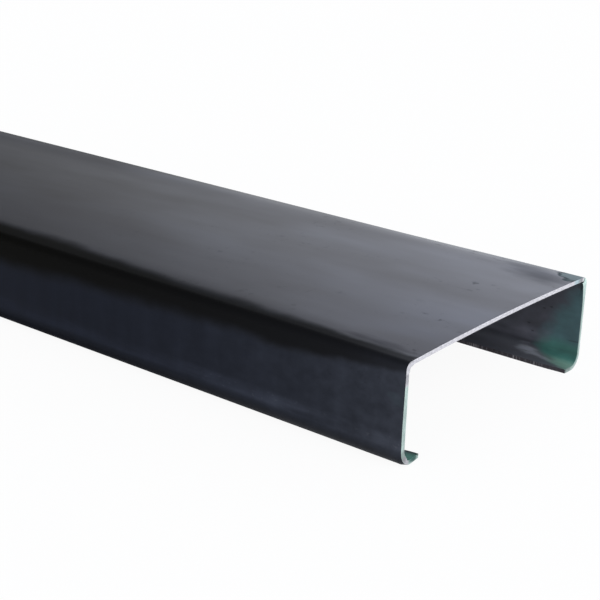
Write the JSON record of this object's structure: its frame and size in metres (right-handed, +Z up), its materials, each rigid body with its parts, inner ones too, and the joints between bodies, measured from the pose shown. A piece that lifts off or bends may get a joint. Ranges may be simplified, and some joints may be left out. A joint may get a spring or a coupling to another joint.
{
  "type": "c purlin",
  "caption": "Length of cold-formed steel C purlin, lying web up on its two inturned lips, bare black steel with a bright cut end.",
  "frame": {"origin": "on the floor under the middle of the piece, midway along its length and midway between the flanges", "axes": "+X along the length, towards the end with the green mark; +Y across the web; +Z up, out of the web's outer face"},
  "size_m": [3.048, 0.2032, 0.0635],
  "materials": {
    "steel": "bare hot-rolled strip with thin blue-black mill scale and a film of oil, bright at the cut ends"
  },
  "bodies": {
    "root": {"c_purlin": "steel"}
  },
  "joints": []
}
